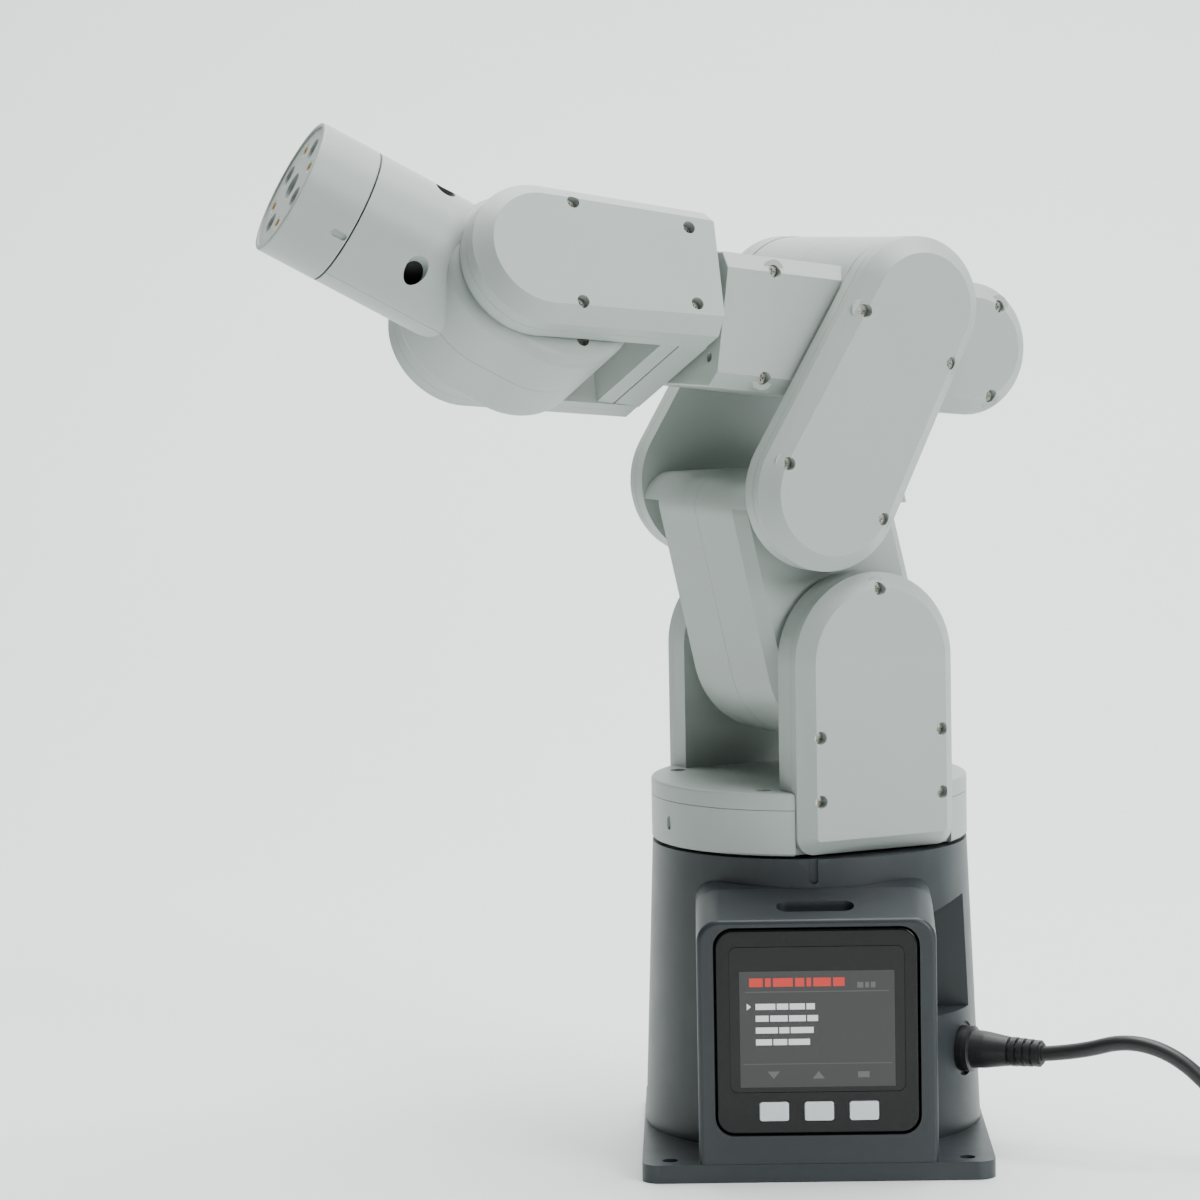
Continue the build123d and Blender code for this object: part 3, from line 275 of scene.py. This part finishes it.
flat_mesh("screen_ground", [bar(left_edge, LCD_LOW, LCD_W, LCD_H)], GROUND_Y, GROUND)
rules = [bar(left_edge + 1.5, 50.7, LCD_W - 3, 0.25), bar(left_edge + 0.8, 31.5, LCD_W - 1.6, 0.2)]
flat_mesh("screen_rules", rules, MARKS_Y, LINE)
title = dashes(left_edge + 2.6, 52.2, 2.3, TITLE_WIDTHS, 0.6)
flat_mesh("screen_title_bar", title, MARKS_Y, TITLE)
rows = []
for index, widths in enumerate(ROW_WIDTHS):
    rows.extend(dashes(left_edge + 4.2, TOP_ROW - ROW_PITCH * index, 1.6, widths, 0.4))
rows.append([(left_edge + 1.9, 46.0), (left_edge + 3.0, 46.9), (left_edge + 1.9, 47.8)])
flat_mesh("screen_rows", rows, MARKS_Y, WRITING)
key_x = [middle_x(name) for name in ("button_left", "button_middle", "button_right")]
legend = [[(key_x[0] - 1.6, 29.6), (key_x[0], 27.6), (key_x[0] + 1.6, 29.6)],
          [(key_x[1] - 1.6, 27.6), (key_x[1] + 1.6, 27.6), (key_x[1], 29.6)],
          bar(key_x[2] - 1.5, 27.8, 3.0, 1.6)]
legend.extend(dashes(left_edge + 31.0, 51.7, 1.5, (1.6, 1.0, 1.2), 0.5))
flat_mesh("screen_legend", legend, MARKS_Y, LEGEND)


# ---------------------------------------------------------------- power lead
LEAD_D = 4.2 * MM
LEAD_START = [(61.6, -28.7, 27.0), (71.0, -33.1, 28.2), (83.6, -38.9, 32.6), (96.2, -44.6, 29.2),
              (107.0, -49.2, 18.6), (118.5, -52.4, 8.2), (133.0, -52.2, 3.4), (147.5, -48.4, 2.9)]
LEAD_FINISH = [(189.6, -8.6, 11.3), (191.4, 1.6, 11.8), (193.0, 11.8, 13.0), (193.5, 21.0, 13.8)]
COIL_CENTRE = (162.0, -18.0)
STEPS = 20
# turns wound so far, radius of the turn and height of the cord's middle
WINDING = [(0.0, 27.25, 3.0), (2.0, 18.75, 3.0), (2.25, 18.75, 7.2), (3.0, 23.0, 7.2), (3.25, 23.0, 7.2),
           (4.0, 27.25, 7.2), (4.25, 27.25, 7.2), (4.5, 27.25, 11.4), (5.25, 27.25, 11.4)]


def coil_points():
    """Three layers of turns, from the coil's front side round to its right side."""
    points = []
    for before, after in zip(WINDING, WINDING[1:]):
        steps = round((after[0] - before[0]) * STEPS)
        for step in range(steps):
            share = step / steps
            turn, radius, height = (a + share * (b - a) for a, b in zip(before, after))
            angle = -pi / 2 + 2 * pi * turn
            x = COIL_CENTRE[0] + radius * cos(angle)
            y = COIL_CENTRE[1] + radius * sin(angle)
            points.append((x, y, height))
    return points


route = LEAD_START + coil_points() + LEAD_FINISH
curve = bpy.data.curves.new("power_cord", "CURVE")
curve.dimensions = "3D"
curve.bevel_depth = LEAD_D / 2
curve.bevel_resolution = 6
curve.resolution_u = 8
curve.use_fill_caps = True
line = curve.splines.new("NURBS")
line.points.add(len(route) - 1)
for control, place in zip(line.points, route):
    control.co = (place[0] * MM, place[1] * MM, place[2] * MM, 1.0)
line.order_u = 3
line.use_endpoint_u = True
curve.materials.append(finishes["cord_black"])
cord = bpy.data.objects.new("power_cord", curve)
bpy.context.collection.objects.link(cord)
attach(cord, "base")
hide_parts("power_lead", "power_lead_tail", "lead_coil")


# ---------------------------------------------------------------- studio
TABLE_FRONT = -1.6
BEND_START = 0.45
BEND_RADIUS = 0.5
BEND_STEPS = 12
WALL_TOP = 2.4
HALF_WIDTH = 2.2


def backdrop():
    """A paper sweep: the table, a wide bend and a wall behind."""
    profile = [(TABLE_FRONT, 0.0), (BEND_START, 0.0)]
    for step in range(1, BEND_STEPS + 1):
        angle = step * pi / 2 / BEND_STEPS
        profile.append((BEND_START + BEND_RADIUS * sin(angle), BEND_RADIUS - BEND_RADIUS * cos(angle)))
    profile.append((BEND_START + BEND_RADIUS, WALL_TOP))
    corners = []
    for x in (-HALF_WIDTH, HALF_WIDTH):
        corners.extend((x, y, z) for y, z in profile)
    count = len(profile)
    faces = [(i, i + 1, i + 1 + count, i + count) for i in range(count - 1)]
    mesh = bpy.data.meshes.new("paper_sweep")
    mesh.from_pydata(corners, [], faces)
    for face in mesh.polygons:
        face.use_smooth = True
    material, tree, shader = node_tree("sweep_paper")
    tone = ramp(tree, noise(tree, 3.0).outputs["Fac"], (0.86, 0.90, 0.885), (0.88, 0.92, 0.905))
    tree.links.new(tone.outputs["Color"], shader.inputs["Base Color"])
    shader.inputs["Roughness"].default_value = 0.55
    bump(tree, shader, noise(tree, 900.0).outputs["Fac"], 0.05, 0.0001)
    mesh.materials.append(material)
    sweep = bpy.data.objects.new("paper_sweep", mesh)
    bpy.context.collection.objects.link(sweep)


def softbox(name, place, target, size, power, colour):
    """A rectangular area light that faces a point."""
    data = bpy.data.lights.new(name, "AREA")
    data.shape = "RECTANGLE"
    data.size, data.size_y = size
    data.energy = power
    data.color = colour
    lamp = bpy.data.objects.new(name, data)
    lamp.location = place
    lamp.rotation_euler = (Vector(target) - Vector(place)).to_track_quat("-Z", "Y").to_euler()
    bpy.context.collection.objects.link(lamp)


backdrop()
softbox("top_box", (0.1, 0.2, 1.5), (0.0, 0.1, 0.0), (1.5, 1.1), 52.0, (0.98, 1.0, 0.99))
softbox("right_box", (1.0, -1.0, 0.85), (0.0, 0.0, 0.15), (0.7, 0.7), 19.0, (0.97, 1.0, 1.0))
world = bpy.data.worlds.new("room")
world.use_nodes = True
world.node_tree.nodes["Background"].inputs["Color"].default_value = (0.86, 0.93, 0.93, 1.0)
world.node_tree.nodes["Background"].inputs["Strength"].default_value = 0.13
bpy.context.scene.world = world


# ---------------------------------------------------------------- camera
CAMERA_PLACE = (-0.02792, -1.18589, 0.25814)
HEADING = radians(1.388)
TIP = radians(-5.233)
TILT = radians(-1.036)
SENSOR_MM = 36.0
LENS_MM = 129.88


def place_camera():
    """A long lens a little above the display, turned and tipped a few degrees."""
    look = Vector((-sin(HEADING) * cos(TIP), cos(HEADING) * cos(TIP), sin(TIP)))
    level = Vector((cos(HEADING), sin(HEADING), 0.0))
    upright = level.cross(look)
    right = cos(TILT) * level + sin(TILT) * upright
    up = cos(TILT) * upright - sin(TILT) * level
    data = bpy.data.cameras.new("camera")
    data.sensor_width = SENSOR_MM
    data.lens = LENS_MM
    camera = bpy.data.objects.new("camera", data)
    turn = Matrix((right, up, -look)).transposed().to_4x4()
    camera.matrix_world = Matrix.Translation(CAMERA_PLACE) @ turn
    bpy.context.collection.objects.link(camera)
    bpy.context.scene.camera = camera


place_camera()
